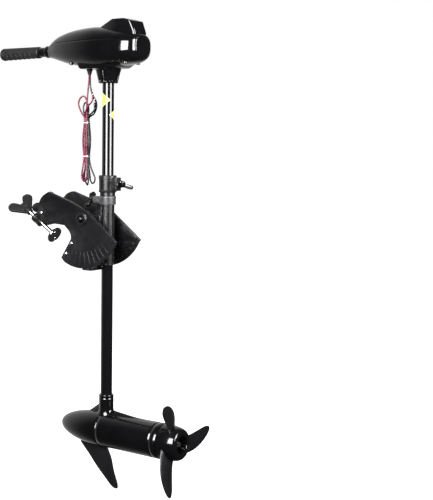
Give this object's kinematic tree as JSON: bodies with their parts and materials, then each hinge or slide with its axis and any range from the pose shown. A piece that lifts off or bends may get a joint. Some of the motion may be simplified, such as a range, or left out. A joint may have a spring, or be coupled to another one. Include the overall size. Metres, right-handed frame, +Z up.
{
  "type": "transom-mount electric trolling motor",
  "caption": "Electric trolling motor with a long tube, underwater motor pod and propeller, tiller head, and a tilting transom clamp bracket.",
  "frame": {"origin": "middle of the bracket's bearing face, where the transom seats", "axes": "+Z up along the tube, -X into the boat on the tiller side, +X aft on the propeller side"},
  "size_m": [0.569, 0.1952, 1.12],
  "materials": {
    "moulded_black": "glossy moulded black plastic",
    "pod_paint": "deep gloss black paint",
    "bracket_black": "satin black glass-filled nylon",
    "tube_black": "semi-gloss black finish",
    "grip_black": "soft matt black",
    "plated_steel": "bright plated",
    "bare_steel": "machined",
    "brass": "machined",
    "copper": "copper",
    "white_nylon": "natural nylon",
    "board_brown": "laminate",
    "magnet": "ferrite",
    "iron": "laminations",
    "seal_rubber": "nitrile",
    "lens": "smoked panel",
    "lead_red": "red PVC",
    "lead_black": "black PVC"
  },
  "bodies": {
    "bracket": {"port_cheek": "bracket_black", "starboard_cheek": "bracket_black", "transom_plate": "bracket_black", "front_bridge": "bracket_black", "bracket_screws": "plated_steel", "clamp_bushes": "brass", "pivot_bolt": "plated_steel", "pivot_nut": "plated_steel"},
    "port_clamp": {"port_pad": "plated_steel"},
    "port_clamp_handle": {"port_screw": "plated_steel", "port_handle": "moulded_black"},
    "starboard_clamp": {"starboard_pad": "plated_steel"},
    "starboard_clamp_handle": {"starboard_screw": "plated_steel", "starboard_handle": "moulded_black"},
    "swivel": {"swivel_sleeve": "bracket_black", "upper_bush": "white_nylon", "lower_bush": "white_nylon", "lock_springs": "bare_steel"},
    "tension_stop": {"tension_plug": "white_nylon"},
    "tension_knob": {"tension_screw": "moulded_black"},
    "tilt_lock": {"lock_bar": "bare_steel", "release_lever": "bracket_black"},
    "steering_collar": {"depth_collar": "bracket_black"},
    "depth_stop": {"depth_plug": "white_nylon"},
    "depth_knob": {"depth_screw": "moulded_black"},
    "leg": {"shaft_tube": "tube_black", "nose_cone": "pod_paint", "motor_housing": "pod_paint", "end_bell": "pod_paint", "magnets": "magnet", "brush_card": "board_brown", "brushes": "magnet", "bearings": "bare_steel", "shaft_seal": "seal_rubber", "end_seals": "seal_rubber", "through_bolts": "plated_steel", "inner_cable": "lead_black", "head_collar": "bracket_black", "lower_case": "moulded_black", "upper_cover": "moulded_black", "meter_lens": "lens", "case_screws": "plated_steel", "switch_body": "moulded_black", "tiller_bush": "moulded_black", "lead_gland": "seal_rubber", "red_lead": "lead_red", "black_lead": "lead_black", "lead_hank": "lead_red", "lead_terminals": "lead_black"},
    "tiller": {"tiller_tube": "tube_black"},
    "twist_grip": {"grip": "grip_black", "drive_rod": "bare_steel"},
    "speed_switch": {"switch_rotor": "brass"},
    "rotor": {"motor_shaft": "bare_steel", "armature": "iron", "commutator": "copper", "propeller": "moulded_black", "drive_pin": "plated_steel", "prop_nut": "plated_steel"}
  },
  "joints": [
    {"name": "tilt", "type": "hinge", "parent": "bracket", "child": "swivel", "pos_m": [0.04466, 0, 0.06877], "axis": [0, -1, 0], "range_deg": [-33, 49.5]},
    {"name": "steer", "type": "hinge", "parent": "swivel", "child": "steering_collar", "pos_m": [0.08766, 0, 0.15177], "axis": [0, 0, 1], "continuous": true},
    {"name": "depth", "type": "slide", "parent": "steering_collar", "child": "leg", "axis": [0, 0, 1], "range_m": [0, 0.29]},
    {"name": "tiller_extend", "type": "slide", "parent": "leg", "child": "tiller", "axis": [-1, 0, 0], "range_m": [0, 0.1]},
    {"name": "speed_twist", "type": "hinge", "parent": "tiller", "child": "twist_grip", "pos_m": [-0.19234, 0, 0.47977], "axis": [-1, 0, 0], "range_deg": [-60, 100]},
    {"name": "switch_turn", "type": "hinge", "parent": "leg", "child": "speed_switch", "pos_m": [0.04766, 0, 0.47977], "axis": [-1, 0, 0], "range_deg": [-61, 101]},
    {"name": "prop_spin", "type": "hinge", "parent": "leg", "child": "rotor", "pos_m": [0.27766, 0, -0.43823], "axis": [1, 0, 0], "continuous": true},
    {"name": "port_clamp_travel", "type": "slide", "parent": "bracket", "child": "port_clamp", "axis": [0.8387, 0, -0.5446], "range_m": [-0.01, 0.01]},
    {"name": "port_clamp_turn", "type": "hinge", "parent": "port_clamp", "child": "port_clamp_handle", "pos_m": [-0.00082, -0.044, -0.00126], "axis": [0.8387, 0, -0.5446], "range_deg": [-1830, 1830]},
    {"name": "starboard_clamp_travel", "type": "slide", "parent": "bracket", "child": "starboard_clamp", "axis": [0.8387, 0, -0.5446], "range_m": [-0.01, 0.01]},
    {"name": "starboard_clamp_turn", "type": "hinge", "parent": "starboard_clamp", "child": "starboard_clamp_handle", "pos_m": [-0.00082, 0.044, -0.00126], "axis": [0.8387, 0, -0.5446], "range_deg": [-1830, 1830]},
    {"name": "tension_travel", "type": "slide", "parent": "swivel", "child": "tension_stop", "axis": [-1, 0, 0], "range_m": [0, 0.002]},
    {"name": "tension_turn", "type": "hinge", "parent": "tension_stop", "child": "tension_knob", "pos_m": [0.05766, 0, 0.11377], "axis": [-1, 0, 0], "range_deg": [-30, 606]},
    {"name": "depth_stop_travel", "type": "slide", "parent": "steering_collar", "child": "depth_stop", "axis": [1, 0, 0], "range_m": [0, 0.002]},
    {"name": "depth_stop_turn", "type": "hinge", "parent": "depth_stop", "child": "depth_knob", "pos_m": [0.11766, 0, 0.15177], "axis": [1, 0, 0], "range_deg": [-30, 606]},
    {"name": "lock_release", "type": "slide", "parent": "swivel", "child": "tilt_lock", "axis": [0, 0, 1], "range_m": [0, 0.0075], "deforming": ["lock_springs"]}
  ],
  "couplings": [
    {"joint": "switch_turn", "follows": "speed_twist", "ratio": 1},
    {"joint": "port_clamp_turn", "follows": "port_clamp_travel", "rad_per_m": 3141.6},
    {"joint": "starboard_clamp_turn", "follows": "starboard_clamp_travel", "rad_per_m": 3141.6},
    {"joint": "tension_turn", "follows": "tension_travel", "rad_per_m": 5026.5},
    {"joint": "depth_stop_turn", "follows": "depth_stop_travel", "rad_per_m": 5026.5}
  ]
}
